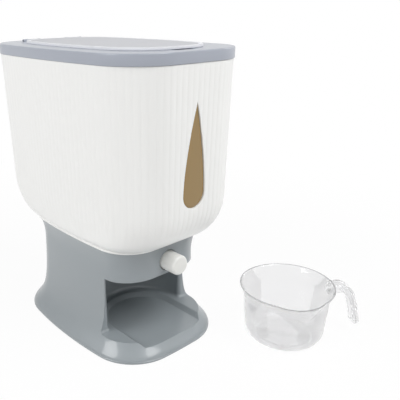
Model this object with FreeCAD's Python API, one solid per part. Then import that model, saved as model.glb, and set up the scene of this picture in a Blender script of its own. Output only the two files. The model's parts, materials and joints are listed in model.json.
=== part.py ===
import FreeCAD, Part
import os
from math import asin, cos, pi, sin, sqrt
from FreeCAD import Vector

# Rice dispenser, millimetres. Z is up, the front faces -Y, and the origin is on the
# ground under the middle of the base.

# ---- bin
collar_half_w = 98.5        # half width of the collar, the widest ring
collar_half_d = 157.0       # half depth of the collar
body_form = (0.62, 12.0, 7.5)   # corner radius, front arc and side arc, as multiples of
foot_form = (0.68, 7.0, 4.9)    # the half width, the half width and the half depth
lid_form = (0.74, 40.0, 4.8)
collar_z = 366.4            # underside of the collar band
collar_h = 12.6             # height of the collar band
collar_skirt = 1.8          # wall of the band
collar_plate = 2.4          # thickness of the collar's flat top
collar_step = 1.1           # how far the band stands out from the bin
bin_wall = 2.6
bin_taper_w = 0.020         # how fast the sides lean in, per mm of height
bin_taper_d = 0.025
bin_round_z = 200.0         # the bottom starts to round in here
bin_floor_z = 143.0         # underside of the bin, where it stands on the base
bin_floor = 3.4             # thickness of the bin's floor and of its lip
lip_out = 2.0               # how far the lip stands out from the rounded bottom
floor_half_w = 77.0         # where the rounded bottom meets the lip
floor_half_d = 112.3
fit_gap = 0.3               # clearance between pieces that are placed by hand
slide_gap = 0.3             # clearance round what slides

# ---- lid
lid_half_w = 71.0
lid_half_d = 128.5
lid_plate = 3.0
lid_edge_round = 1.1
lid_step = 7.0              # the plug under the lid is this much smaller
plug_depth = 8.0
plug_wall = 2.2
seal_depth = 3.0
seal_thick = 1.4
notch_half_w = 17.0         # finger notch under the lid's front edge
notch_reach = 9.0
notch_depth = 1.6
hinge_x = 34.0              # middle of each of the two hinges
hinge_knuckle = 16.0
hinge_ear = 5.0
hinge_back = 3.6            # the pin runs this far behind the lid's edge
hinge_r = 2.5
hinge_web = 2.0             # the knuckles reach this far over the lid
pin_r = 1.25
pin_gap = 0.06

# ---- window
window_tip_z = 325.7
window_low_z = 202.3
window_half_w = 18.3
window_lap = 1.2           # the flange's thickness, inside the wall
window_sink = 1.0           # the lens lies this much behind the bin's surface
window_flange = 4.0         # the lens laps this much behind the wall

# ---- base
foot_half_w = 95.0
foot_half_d = 134.7
foot_back = -1.0            # the foot's middle lies this far off the origin, along Y
skirt_z = 0.8               # the foot pads hold the skirt this high
skirt_h = 3.2
waist_half_w = 67.5
waist_half_d = 107.5
flare_h = 18.0              # how quickly the foot's flare dies away with height
flare_power = 1.6
neck_flare_w = 6.5          # the column opens again by this much at its top
neck_flare_d = 4.0
neck_flare_h = 31.0
base_wall = 2.6
base_deck = 3.0             # top of the base, under the bin

# ---- bay
bay_half_w = 63.5
bay_centre_y = -57.0        # centre of the bay's round back, and of the chute
bay_floor_z = 23.0          # the ledge round the cup's seat
bay_top_z = 97.0
bay_round = 5.0
bay_liner = 2.6
pillar_y = -70.0            # the pillars beside the bay end here
pillar_round = 16.0
seat_half_w = 48.5          # the cup's seat, sunk in the bay's floor
seat_z = 17.0
seat_slope = 5.5

# ---- valve
outlet_y = -39.0            # centre of the hopper's neck
outlet_r = 20.0             # bore of the hopper's neck
neck_wall = 2.0
button_z = 120.5
button_r = 13.0
button_out = 24.6           # how far the button stands out of the wall
button_wall = 2.0
button_round = 3.2
button_travel = 15.0
button_inside = 6.0         # length of the button inside the wall at rest
guide_wall = 2.2
guide_back = 3.0            # end wall of the guide, behind the spring
saddle_half_w = 10.0        # rib on the bay's roof that carries the guide
rod_r = 3.0
rod_neck_r = 2.0            # the rod's thin end, through the gate's tab
rod_boss_r = 5.0            # boss inside the button that holds the rod
rod_boss_len = 9.0
rod_gap = 0.2
gate_t = 2.4
gate_half_w = 26.0
gate_lap = 3.0              # the closed gate laps past the bore by this much
gate_bar = 3.5              # bar across the gate's front, in front of its window
gate_z = 124.2              # underside of the gate
tab_half_w = 6.5
tab_drop = 10.0
housing_wall = 3.6
housing_plate = 2.4
ear_out = 10.0              # screw ears of the housing
ear_len = 13.0
ear_t = 2.4
ear_boss = 8.0              # bosses that hang from the deck to the ears
chute_wall = 1.8
chute_end_y = -52.0
chute_bend_z = 112.0
chute_z = 94.0
spring_r = 8.0
spring_wire = 0.55
spring_turns = 7
clip_r = 5.2
clip_t = 1.2

# ---- screws and feet
screw_r = 1.6
screw_head_r = 3.2
screw_head = 2.0
screw_len = 12.0
boss_r = 4.2
pad_r = 8.0
cover_plate = 2.4
cover_z = 1.4
cover_sink = 1.2            # the screws' heads sink this deep into the cover
front_screw = (44.0, -88.0)     # the cover's screws under the bay
back_screw_x = 32.0         # and the two in bosses on the back wall
back_boss_z = 47.0
boss_bite = 1.6             # a boss runs this far into the wall beside it

# ---- hopper
hopper_wall = 2.0
hopper_slope = 0.42
hopper_foot_z = 152.0       # the funnel meets its neck here

# ---- cup
cup_rim_r = 62.0            # outer radius at the rim
cup_h = 75.0
cup_wall = 2.2
cup_floor_r = 38.0
cup_lower_r = 52.5          # the side stops and the foot rounds in here
cup_lower_z = 17.5
cup_body_r = 55.6
cup_band_z = 56.5           # the body flares out to the rim above this
spout_out = 5.0             # how far the pouring lip stands out of the rim
spout_top_r = 42.0
spout_low_r = 16.0
spout_low_z = 42.0          # the lip's bulge starts here, just inside the side
spout_root = 0.5
cup_x = 131.0
cup_y = -200.0
cup_turn = -36.0            # degrees, the way the handle points
handle_w = 18.0
handle_root = 7.0           # the handle starts this far inside the rim
handle_reach = 40.0         # how far the handle's foot stands out of the rim
handle_outer = [(0.0, 0.95), (0.36, 0.99), (0.68, 0.85), (0.91, 0.47), (1.0, 0.11)]
handle_inner = [(0.8, 0.11), (0.71, 0.44), (0.52, 0.77), (0.27, 0.82), (0.0, 0.77)]
# both curves hold shares of the handle's reach and of the cup's height

# ---- places that follow from the sizes above
collar_top = collar_z + collar_h
bin_top = collar_top - collar_plate
bin_low_z = bin_floor_z + bin_floor
lid_z = collar_top
lid_top = lid_z + lid_plate
seal_out = seal_thick + fit_gap
hinge_y = lid_half_d + hinge_back
hinge_z = lid_top - hinge_r
deck_z = bin_floor_z - base_deck
cover_top = cover_z + cover_plate
room_z = bay_top_z + bay_liner
skirt_top = skirt_z + skirt_h
outer_steps = (0.0, 0.2, 0.55, 1.1, 2.0, 3.6)    # flare heights where it is drawn
inner_steps = (0.0, 0.55, 2.0, 4.2)
bin_steps = (0.0, 0.05, 0.14, 0.28, 0.48, 0.74, 1.0)     # heights of its round foot
bin_screw_spots = [(-42, -84), (42, -84), (-50, 48), (50, 48)]
pad_spots = [(-60, -92), (60, -92), (-60, 90), (60, 90)]


def outline(half_w, half_d, form, z, centre_y=0.0, inset=0.0):
    """Closed outline of eight tangent arcs: four long shallow ones joined by four round
    corners. An inset moves every arc in by the same distance and keeps its centre."""
    corner, front, side = form[0] * half_w, form[1] * half_w, form[2] * half_d
    front_centre = Vector(0, half_d - front, 0)
    side_centre = Vector(half_w - side, 0, 0)
    span = side_centre - front_centre
    along = ((front - corner) ** 2 - (side - corner) ** 2 + span.Length ** 2) / (2 * span.Length)
    across = sqrt((front - corner) ** 2 - along ** 2)
    unit = span * (1 / span.Length)
    corner_centre = front_centre + unit * along + Vector(unit.y, -unit.x, 0) * across

    def reach(centre, toward, radius):
        way = toward - centre
        return centre + way * (radius / way.Length)

    ends = {
        "front": reach(front_centre, corner_centre, front - inset),
        "side": reach(side_centre, corner_centre, side - inset),
        "top": Vector(0, half_d - inset, 0),
        "edge": Vector(half_w - inset, 0, 0),
    }
    ends["corner"] = reach(corner_centre, (ends["front"] + ends["side"]) * 0.5, corner - inset)

    def spot(name, sign_x, sign_y):
        point = ends[name]
        return Vector(point.x * sign_x, point.y * sign_y + centre_y, z)

    rows = [
        (("front", -1, 1), ("top", 1, 1), ("front", 1, 1)),
        (("front", 1, 1), ("corner", 1, 1), ("side", 1, 1)),
        (("side", 1, 1), ("edge", 1, 1), ("side", 1, -1)),
        (("side", 1, -1), ("corner", 1, -1), ("front", 1, -1)),
        (("front", 1, -1), ("top", 1, -1), ("front", -1, -1)),
        (("front", -1, -1), ("corner", -1, -1), ("side", -1, -1)),
        (("side", -1, -1), ("edge", -1, 1), ("side", -1, 1)),
        (("side", -1, 1), ("corner", -1, 1), ("front", -1, 1)),
    ]
    return Part.Wire([Part.Arc(spot(*a), spot(*b), spot(*c)).toShape() for a, b, c in rows])


def prism(wire, height):
    return Part.Face(wire).extrude(Vector(0, 0, height))


def through(wires):
    """Solid through a stack of outlines, straight from each to the next."""
    return Part.makeLoft(wires, True, True)


def box(x0, x1, y0, y1, z0, z1):
    return Part.makeBox(x1 - x0, y1 - y0, z1 - z0, Vector(x0, y0, z0))


def post(radius, x, y, z0, z1):
    return Part.makeCylinder(radius, z1 - z0, Vector(x, y, z0))


def bar_y(radius, x, z, y0, y1):
    """Round bar along Y."""
    return Part.makeCylinder(radius, y1 - y0, Vector(x, y0, z), Vector(0, 1, 0))


def tube_y(outer, inner, x, z, y0, y1):
    return bar_y(outer, x, z, y0, y1).cut(bar_y(inner, x, z, y0 - 1, y1 + 1))


def joined(first, *rest):
    return first.fuse(list(rest)).removeSplitter()


def edges_at(shape, z):
    """The level edges of a shape at a height."""
    return [e for e in shape.Edges if abs(e.BoundBox.ZMin - z) < 0.01 and abs(e.BoundBox.ZMax - z) < 0.01]


# ---- base

def base_size(z):
    """Half sizes, form, height and centre of the base's outline at a height.
    The flare dies away from the skirt as 1 / (1 + (h / flare_h)^flare_power)."""
    share = 1 / (1 + (max(z - skirt_top, 0) / flare_h) ** flare_power)
    neck = max(0.0, 1 - (bin_floor_z - z) / neck_flare_h) ** 2
    half_w = waist_half_w + (foot_half_w - waist_half_w) * share + neck_flare_w * neck
    half_d = waist_half_d + (foot_half_d - waist_half_d) * share + neck_flare_d * neck
    form = tuple(b + (f - b) * share for b, f in zip(body_form, foot_form))
    return half_w, half_d, form, z, foot_back * share


def base_body(inset, low, high, steps):
    """The flared column between two heights, drawn in by inset all round."""
    heights = [skirt_top + flare_h * step for step in steps]
    heights += [high - neck_flare_h * step for step in (0.9, 0.5, 0.2, 0.0)]
    column = through([outline(*base_size(z), inset) for z in heights])
    skirt = prism(outline(*base_size(low), inset), skirt_top - low)
    return skirt.fuse(column)


def bay_plan(half_w, z, round_r):
    """The bay seen from above: a half circle at the back, straight sides,
    and rounded pillar ends that open out to the front."""
    far_x = foot_half_w + 30
    far_y = -foot_half_d - 30
    points = {}
    for side in (-1, 1):
        x = side * half_w
        points[side] = (
            Vector(x, bay_centre_y, z),
            Vector(x, pillar_y, z),
            Vector(x + side * round_r * (1 - sqrt(0.5)), pillar_y - round_r * sqrt(0.5), z),
            Vector(side * (half_w + round_r), pillar_y - round_r, z),
            Vector(side * far_x, pillar_y - round_r, z),
            Vector(side * far_x, far_y, z),
        )
    left, right = points[-1], points[1]
    edges = [Part.Arc(left[0], Vector(0, bay_centre_y + half_w, z), right[0]).toShape()]
    for row in (right, left):
        edges.append(Part.LineSegment(row[0], row[1]).toShape())
        edges.append(Part.Arc(row[1], row[2], row[3]).toShape())
        edges.append(Part.LineSegment(row[3], row[4]).toShape())
        edges.append(Part.LineSegment(row[4], row[5]).toShape())
    edges.append(Part.LineSegment(left[5], right[5]).toShape())
    return Part.Wire(Part.__sortEdges__(edges))


def seat_plan(half_w, z):
    """The cup's seat from above: round at the back, open to the front."""
    far_y = -foot_half_d - 30
    edges = [
        Part.Arc(Vector(-half_w, bay_centre_y, z), Vector(0, bay_centre_y + half_w, z),
                 Vector(half_w, bay_centre_y, z)).toShape(),
        Part.LineSegment(Vector(half_w, bay_centre_y, z), Vector(half_w, far_y, z)).toShape(),
        Part.LineSegment(Vector(half_w, far_y, z), Vector(-half_w, far_y, z)).toShape(),
        Part.LineSegment(Vector(-half_w, far_y, z), Vector(-half_w, bay_centre_y, z)).toShape(),
    ]
    return Part.Wire(edges)


def bay_room():
    """The space of the bay, with its lower edge rounded and the cup's seat sunk below it."""
    room = prism(bay_plan(bay_half_w, bay_floor_z, pillar_round), bay_top_z - bay_floor_z)
    room = room.makeChamfer(bay_round, edges_at(room, bay_floor_z))
    lift = 2.0
    slope = seat_slope / (bay_floor_z - seat_z)
    seat_top = seat_plan(seat_half_w + seat_slope + slope * lift, bay_floor_z + lift)
    seat = through([seat_plan(seat_half_w, seat_z), seat_top])
    return room.fuse(seat)


def cover_screw_spots():
    half_w, half_d, form, z, centre_y = base_size(back_boss_z)
    back_y = centre_y + half_d - base_wall - boss_r + boss_bite
    x, y = front_screw
    return [(-x, y), (x, y), (-back_screw_x, back_y), (back_screw_x, back_y)]


def screw_hole_cut(shape, spots, radius, low, high):
    for x, y in spots:
        shape = shape.cut(post(radius, x, y, low, high))
    return shape


def ear_spots():
    x = gate_half_w + slide_gap + housing_wall + ear_out / 2
    front = gate_front() + gate_bar + 1 + ear_len / 2
    back = gate_back() + button_travel - ear_len / 2
    return [(-x, front), (x, front), (-x, back), (x, back)]


def gate_back():
    return outlet_y + outlet_r + gate_lap


def gate_closed_from():
    return outlet_y - outlet_r - gate_lap


def gate_front():
    """Front of the gate: its window is as long as the push and a lap."""
    return gate_closed_from() - button_travel - gate_lap - gate_bar


def wall_front():
    """Outside of the front wall at the button's height."""
    half_w, half_d, form, z, centre_y = base_size(button_z)
    return centre_y - half_d


def guide_front():
    return wall_front() + base_wall + 0.1


def guide_end():
    return gate_front() - 0.5


def base_shell():
    outer = base_body(0.0, skirt_z, bin_floor_z, outer_steps)
    cavity = base_body(base_wall, skirt_z - 1, deck_z, inner_steps)
    floor_low = seat_z - bay_liner
    block = box(-foot_half_w, foot_half_w, -foot_half_d - 5, bay_centre_y, floor_low, room_z)
    back = post(bay_half_w + bay_liner, 0, bay_centre_y, floor_low, room_z)
    cavity = cavity.cut([block, back])
    shell = outer.cut([cavity, bay_room()])
    adds = []
    for x, y in cover_screw_spots():
        top = floor_low if y < 0 else back_boss_z
        adds.append(post(boss_r, x, y, cover_top, top + 0.5))
    ear_z = deck_z - ear_boss
    for x, y in ear_spots():
        adds.append(post(boss_r, x, y, ear_z, deck_z + 0.5))
    saddle = box(-saddle_half_w, saddle_half_w, guide_front() + 3, guide_end() - 3, room_z - 0.5, button_z)
    adds.append(saddle)
    shell = joined(shell, *adds)
    guide_r = button_r + slide_gap + guide_wall
    cuts = [bar_y(guide_r + 0.05, 0, button_z, guide_front() - 0.02, guide_end() + 1)]
    cuts.append(bar_y(button_r + slide_gap + 0.2, 0, button_z, wall_front() - 3, guide_front()))
    cuts.append(post(outlet_r + neck_wall + fit_gap, 0, outlet_y, deck_z - 1, bin_floor_z + 1))
    cuts.append(chute_tube(outlet_r + chute_wall + 0.8))
    shell = shell.cut(cuts)
    shell = screw_hole_cut(shell, bin_screw_spots, screw_r + 0.1, deck_z - 1, bin_floor_z + 1)
    shell = screw_hole_cut(shell, ear_spots(), screw_r + 0.1, ear_z - 1, ear_z + screw_len - ear_t)
    return screw_hole_cut(shell, cover_screw_spots(), screw_r + 0.1, cover_top - 1, cover_z + screw_len)


def base_cover():
    inset = base_wall + fit_gap
    cover = prism(outline(*base_size(skirt_z)[:3], cover_z, foot_back, inset), cover_plate)
    for x, y in cover_screw_spots():
        cover = cover.cut(post(screw_r + 0.1, x, y, cover_z - 1, cover_top + 1))
        cover = cover.cut(post(screw_head_r + 0.2, x, y, cover_z - 1, cover_z + cover_sink))
    return cover


def foot_pads():
    return Part.makeCompound([post(pad_r, x, y, 0, cover_z) for x, y in pad_spots])


def screw(x, y, seat, length):
    """Screw that points up, its head under the seat."""
    head = post(screw_head_r, x, y, seat - screw_head, seat)
    head = head.makeChamfer(0.5, edges_at(head, seat - screw_head))
    return head.fuse(post(screw_r, x, y, seat, seat + length)).removeSplitter()


def cover_screws():
    seat = cover_z + cover_sink
    return Part.makeCompound([screw(x, y, seat, screw_len - 2) for x, y in cover_screw_spots()])


def bin_screws():
    return Part.makeCompound([screw(x, y, deck_z, screw_len) for x, y in bin_screw_spots])


def housing_screws():
    seat = deck_z - ear_boss - ear_t
    return Part.makeCompound([screw(x, y, seat, screw_len - 2) for x, y in ear_spots()])


# ---- bin

def bin_size(z):
    """Half sizes of the bin's outside. It leans in with depth, and below bin_round_z it
    rounds in along a quarter ellipse that ends at the lip."""
    depth = (bin_round_z - bin_low_z) / 0.995
    full = 1 - sqrt(1 - 0.995 ** 2)
    drop = min(0.995, max(0.0, (bin_round_z - z) / depth))
    share = (1 - sqrt(1 - drop ** 2)) / full
    lean_w = collar_half_w - collar_step - bin_taper_w * (collar_z - z)
    lean_d = collar_half_d - collar_step - bin_taper_d * (collar_z - z)
    low_w = lean_w + bin_taper_w * (z - bin_low_z) - floor_half_w
    low_d = lean_d + bin_taper_d * (z - bin_low_z) - floor_half_d
    return lean_w - share * (low_w - bin_taper_w * (z - bin_low_z)), \
        lean_d - share * (low_d - bin_taper_d * (z - bin_low_z))


def bin_outline(z, inset=0.0):
    half_w, half_d = bin_size(z)
    return outline(half_w, half_d, body_form, z, 0.0, inset)


def bin_solid(inset, shares, high):
    """The bin's form, set in from its surface, from the floor up to a height."""
    round_h = bin_round_z - bin_low_z
    heights = [bin_low_z + round_h * share for share in shares] + [high]
    return through([bin_outline(z, inset) for z in heights])


def drop_prism(grow):
    """The window's teardrop, as a bar along Y: two long arcs from the tip run into a half circle."""
    half = window_half_w + grow
    wide_z = window_low_z + window_half_w
    tip = Vector(0, 0, window_tip_z + grow)
    long = tip.z - wide_z
    arc_r = (long ** 2 + half ** 2) / (2 * half)
    mid = asin(long / arc_r) / 2
    mid_x = half - arc_r * (1 - cos(mid))
    mid_z = wide_z + arc_r * sin(mid)
    edges = [
        Part.Arc(tip, Vector(mid_x, 0, mid_z), Vector(half, 0, wide_z)).toShape(),
        Part.Arc(Vector(half, 0, wide_z), Vector(0, 0, wide_z - half), Vector(-half, 0, wide_z)).toShape(),
        Part.Arc(Vector(-half, 0, wide_z), Vector(-mid_x, 0, mid_z), tip).toShape(),
    ]
    return Part.Face(Part.Wire(edges)).extrude(Vector(0, -collar_half_d - 10, 0))


def bin_shell():
    outer = bin_solid(0.0, bin_steps, collar_z)
    neck = prism(collar_outline(collar_z, collar_skirt + fit_gap), bin_top - collar_z)
    lip_size = (floor_half_w + lip_out, floor_half_d + lip_out, body_form)
    lip = prism(outline(*lip_size, bin_floor_z), bin_floor)
    inner = bin_solid(bin_wall, bin_steps, bin_top + 1)
    shell = outer.fuse([neck, lip]).cut(inner)
    bosses = [post(boss_r, x, y, bin_low_z - 0.5, deck_z + screw_len + 1) for x, y in bin_screw_spots]
    shell = joined(shell, *bosses)
    shell = screw_hole_cut(shell, bin_screw_spots, screw_r + 0.1, bin_floor_z - 1, deck_z + screw_len)
    hole = post(outlet_r + neck_wall + fit_gap, 0, outlet_y, bin_floor_z - 1, bin_low_z + 1)
    return shell.cut([hole, drop_prism(0.0)])


def window_lens():
    """Lens that fills the teardrop, and a thin flange that laps the wall from the inside."""
    inside = bin_solid(bin_wall + window_lap, bin_steps, collar_z)
    plug = bin_solid(window_sink, bin_steps, collar_z).cut(inside).common(drop_prism(-0.15))
    flange = bin_solid(bin_wall + 0.05, bin_steps, collar_z).cut(inside).common(drop_prism(window_flange))
    return joined(plug, flange)


def hopper():
    """Cone on the outlet, trimmed all round to the bin's wall, with a neck down to the gate."""
    reach = 2 * collar_half_d
    rise = reach * hopper_slope
    wall_up = hopper_wall * sqrt(1 + hopper_slope ** 2)
    inner_r = outlet_r
    low = Vector(0, outlet_y, hopper_foot_z)
    outer = Part.makeCone(inner_r, inner_r + reach, rise, low - Vector(0, 0, wall_up))
    inner = Part.makeCone(inner_r, inner_r + reach, rise, low)
    edge = bin_wall + fit_gap
    funnel = outer.cut(inner).common(bin_solid(edge, bin_steps, collar_z))
    foot = gate_z + gate_t + 0.5
    neck = post(outlet_r + neck_wall, 0, outlet_y, foot, hopper_foot_z)
    seat = post(outlet_r + neck_wall + 5, 0, outlet_y, bin_low_z, bin_low_z + 2)
    hopper_solid = joined(funnel, neck, seat)
    return hopper_solid.cut(post(outlet_r, 0, outlet_y, foot - 1, hopper_foot_z + 0.2))


# ---- collar and lid

def collar_outline(z, inset=0.0):
    return outline(collar_half_w, collar_half_d, body_form, z, 0.0, inset)


def lid_outline(z, inset=0.0):
    return outline(lid_half_w, lid_half_d, lid_form, z, 0.0, inset)


def hinge_spots():
    return (-hinge_x, hinge_x)


def bar_x(radius, x0, x1, y, z):
    return Part.makeCylinder(radius, x1 - x0, Vector(x0, y, z), Vector(1, 0, 0))


def top_rim():
    band = prism(collar_outline(collar_z), collar_h)
    band = band.makeChamfer(0.8, edges_at(band, collar_top))
    band = band.cut(prism(collar_outline(collar_z - 1, collar_skirt), bin_top - collar_z + 1))
    mouth = lid_step - seal_out
    skirt_low = lid_z - plug_depth - 1
    skirt = prism(lid_outline(skirt_low, mouth - 2.0), bin_top - skirt_low)
    beds, pockets, ears, bores = [], [], [], []
    half = hinge_knuckle / 2 + fit_gap
    for x in hinge_spots():
        reach = half + hinge_ear + 0.5
        beds.append(box(x - reach, x + reach, hinge_y - 5, hinge_y + 5, bin_top - 3, bin_top))
        pockets.append(box(x - half, x + half, hinge_y - hinge_r - 0.3, hinge_y + hinge_r + 0.5,
                           hinge_z - hinge_r - 0.4, collar_top + 5))
        for x0 in (x - half - hinge_ear, x + half):
            ear = box(x0, x0 + hinge_ear, hinge_y - hinge_r, hinge_y + hinge_r, bin_top, hinge_z)
            ears.append(ear.fuse(bar_x(hinge_r, x0, x0 + hinge_ear, hinge_y, hinge_z)))
        bores.append(bar_x(pin_r, x - reach - 2, x + reach + 2, hinge_y, hinge_z))
    rim = joined(band, skirt, *beds)
    rim = rim.cut([prism(lid_outline(skirt_low - 1, mouth), collar_top - skirt_low + 2)] + pockets)
    rim = joined(rim, *ears).cut(bores)
    notch = box(-notch_half_w, notch_half_w, -lid_half_d - notch_reach, -lid_half_d + lid_step - 2.5,
                collar_top - notch_depth, collar_top + 1)
    upright = [e for e in notch.Edges if e.BoundBox.ZLength > 1]
    return rim.cut(notch.makeFillet(3.0, upright))


def lid():
    plate = prism(lid_outline(lid_z), lid_plate)
    plate = plate.makeChamfer(lid_edge_round, edges_at(plate, lid_top))
    plug = prism(lid_outline(lid_z - plug_depth, lid_step), plug_depth)
    plug = plug.cut(prism(lid_outline(lid_z - plug_depth - 1, lid_step + plug_wall), plug_depth + 1))
    adds, bores = [plug], []
    for x in hinge_spots():
        x0, x1 = x - hinge_knuckle / 2, x + hinge_knuckle / 2
        adds.append(bar_x(hinge_r, x0, x1, hinge_y, hinge_z))
        adds.append(box(x0, x1, lid_half_d - hinge_web, hinge_y, hinge_z, lid_top))
        bores.append(bar_x(pin_r + pin_gap, x0 - 1, x1 + 1, hinge_y, hinge_z))
    return joined(plate, *adds).cut(bores)


def lid_seal():
    low = lid_z - plug_depth + 1
    ring = prism(lid_outline(low, lid_step - seal_thick), seal_depth)
    return ring.cut(prism(lid_outline(low - 1, lid_step), seal_depth + 2))


def hinge_pins():
    reach = hinge_knuckle / 2 + fit_gap + hinge_ear
    return Part.makeCompound([bar_x(pin_r, x - reach, x + reach, hinge_y, hinge_z) for x in hinge_spots()])


# ---- button and gate

def button_face():
    return wall_front() - button_out


def button_cap():
    back = wall_front() + button_inside
    cap = bar_y(button_r, 0, button_z, button_face(), back)
    rim = [e for e in cap.Edges if abs(e.BoundBox.YMax - button_face()) < 0.01]
    cap = cap.makeFillet(button_round, rim)
    cap = cap.cut(bar_y(button_r - button_wall, 0, button_z, button_face() + button_wall + 0.6, back + 1))
    boss = bar_y(rod_boss_r, 0, button_z, button_face() + button_wall, button_face() + rod_boss_len)
    cap = joined(cap, boss)
    return cap.cut(bar_y(rod_r, 0, button_z, rod_front(), back))


def rod_front():
    return button_face() + button_wall + 0.6


def push_rod():
    shoulder = gate_front()
    end = shoulder + gate_bar + clip_t + 0.4
    rod = bar_y(rod_r, 0, button_z, rod_front(), shoulder)
    return joined(rod, bar_y(rod_neck_r, 0, button_z, shoulder, end))


def rod_clip():
    front = gate_front() + gate_bar
    return tube_y(clip_r, rod_neck_r, 0, button_z, front, front + clip_t)


def button_guide():
    outer = button_r + slide_gap + guide_wall
    front, end = guide_front(), guide_end()
    guide = bar_y(outer, 0, button_z, front, end)
    guide = guide.cut(bar_y(button_r + slide_gap, 0, button_z, front - 1, end - guide_back))
    return guide.cut(bar_y(rod_r + rod_gap, 0, button_z, front - 1, end + 1))


def return_spring():
    """Coil between the guide's end wall and the inside of the button."""
    start = button_face() + button_wall + 0.6 + spring_wire + 0.1
    end = guide_end() - guide_back - spring_wire - 0.1
    steps = spring_turns * 12
    sections = []
    for k in range(steps + 1):
        turn = 2 * pi * k / 12
        along = start + (end - start) * k / steps
        out = Vector(cos(turn), 0, sin(turn))
        middle = Vector(0, along, button_z) + out * spring_r
        corners = []
        for j in range(6):
            side = 2 * pi * j / 6
            corners.append(middle + out * (spring_wire * cos(side)) + Vector(0, spring_wire * sin(side), 0))
        sections.append(Part.makePolygon(corners + [corners[0]]))
    return through(sections)


def gate_plate():
    front, back = gate_front(), gate_back()
    plate = box(-gate_half_w, gate_half_w, front, back, gate_z, gate_z + gate_t)
    window = box(-outlet_r, outlet_r, front + gate_bar, gate_closed_from(), gate_z - 1, gate_z + gate_t + 1)
    tab = box(-tab_half_w, tab_half_w, front, front + gate_bar, gate_z - tab_drop, gate_z)
    plate = joined(plate.cut(window), tab)
    return plate.cut(bar_y(rod_neck_r + 0.05, 0, button_z, front - 1, front + gate_bar + 1))


def gate_housing():
    inside = gate_half_w + slide_gap
    outside = inside + housing_wall
    front = gate_front() + gate_bar + 1
    back = gate_back() + button_travel + 1
    floor_top = gate_z - 0.2
    floor = box(-outside, outside, front, back + housing_wall, floor_top - housing_plate, floor_top)
    slot = box(-tab_half_w - 0.8, tab_half_w + 0.8, front - 1,
               gate_front() + gate_bar + button_travel + clip_t + 0.8, floor_top - 5, floor_top + 1)
    walls = [box(-outside, -inside, front, back, floor_top, deck_z)]
    walls.append(box(inside, outside, front, back, floor_top, deck_z))
    walls.append(box(-outside, outside, back, back + housing_wall, floor_top, deck_z))
    ear_z = deck_z - ear_boss - ear_t
    for x, y in ear_spots():
        x0, x1 = sorted((x, x - (ear_out / 2 + 1) * (1 if x > 0 else -1)))
        walls.append(box(x0, x1, y - ear_len / 2, y + ear_len / 2, ear_z, ear_z + ear_t))
        walls.append(post(ear_len / 2, x, y, ear_z, ear_z + ear_t))
    housing = joined(floor, *walls)
    housing = housing.cut([slot, post(outlet_r, 0, outlet_y, floor_top - 5, floor_top + 1)])
    return screw_hole_cut(housing, ear_spots(), screw_r + 0.1, ear_z - 1, ear_z + ear_t + 1)


def chute_tube(radius):
    """Bar along the chute's path: straight down from the gate, then forward over the cup."""
    lean = Vector(0, chute_end_y - outlet_y, chute_z - chute_bend_z)
    bend = Vector(0, outlet_y, chute_bend_z)
    path = [Vector(0, outlet_y, chute_top()), bend, bend + lean * 1.8]
    start = Part.Wire([Part.makeCircle(radius, path[0])])
    return Part.makePolygon(path).makePipeShell([start], True, False, 1)


def chute_top():
    return gate_z - 0.2 - housing_plate


def outlet_chute():
    reach = 3 * outlet_r
    room = box(-reach, reach, outlet_y - reach, outlet_y + reach, chute_z, chute_top())
    return chute_tube(outlet_r + chute_wall).cut(chute_tube(outlet_r)).common(room)


# ---- cup

def cup_profile(inset, low):
    """Half of the cup's section: flat floor, round lower corner, leaning side, flared band."""
    band = cup_h - cup_band_z
    spots = [
        Vector(0, 0, low),
        Vector(cup_floor_r, 0, low),
        Vector(cup_lower_r - inset, 0, cup_lower_z),
        Vector(cup_body_r - inset, 0, cup_band_z),
        Vector(cup_rim_r - inset, 0, cup_h),
        Vector(0, 0, cup_h),
    ]
    corner_mid = Vector(cup_floor_r + (spots[2].x - cup_floor_r) * 0.72, 0, low + (cup_lower_z - low) * 0.32)
    flare_mid = Vector(spots[3].x + (spots[4].x - spots[3].x) * 0.36, 0, cup_band_z + band * 0.5)
    edges = [
        Part.LineSegment(spots[0], spots[1]).toShape(),
        Part.Arc(spots[1], corner_mid, spots[2]).toShape(),
        Part.LineSegment(spots[2], spots[3]).toShape(),
        Part.Arc(spots[3], flare_mid, spots[4]).toShape(),
        Part.LineSegment(spots[4], spots[5]).toShape(),
        Part.LineSegment(spots[5], spots[0]).toShape(),
    ]
    return Part.Face(Part.Wire(edges)).revolve(Vector(0, 0, 0), Vector(0, 0, 1), 360)


def ring_wire(radius, y, z):
    return Part.Wire([Part.makeCircle(radius, Vector(0, y, z))])


def spout(inset):
    """Slanted cone that bulges out of the side and widens up to the pouring lip."""
    top_y = -(cup_rim_r + spout_out - spout_top_r)
    low_y = -(cup_lower_r + spout_root - spout_low_r)
    return through([ring_wire(spout_low_r - inset, low_y, spout_low_z),
                    ring_wire(spout_top_r - inset, top_y, cup_h)])


def handle():
    """Arm that leaves the rim, bends over and ends open near the foot of the cup."""
    root_x = cup_rim_r - handle_root
    span = handle_root + handle_reach
    curves = []
    for shares in (handle_outer, handle_inner):
        curve = Part.BSplineCurve()
        curve.interpolate([Vector(root_x + span * along, 0, cup_h * high) for along, high in shares])
        curves.append(curve)
    outer, inner = curves
    foot = Part.LineSegment(outer.EndPoint, inner.StartPoint)
    root = Part.LineSegment(inner.EndPoint, outer.StartPoint)
    wire = Part.Wire([curve.toShape() for curve in (outer, foot, inner, root)])
    arm = Part.Face(wire).extrude(Vector(0, handle_w, 0))
    arm.translate(Vector(0, -handle_w / 2, 0))
    return arm


def measuring_cup():
    outer = cup_profile(0.0, 0.0).fuse([spout(0.0), handle()])
    inner = cup_profile(cup_wall, cup_wall + 0.4)
    trough = spout(cup_wall)
    cup = outer.cut([inner, trough]).removeSplitter()
    cup.rotate(Vector(0, 0, 0), Vector(0, 0, 1), cup_turn)
    cup.translate(Vector(cup_x, cup_y, 0))
    return cup


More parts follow.
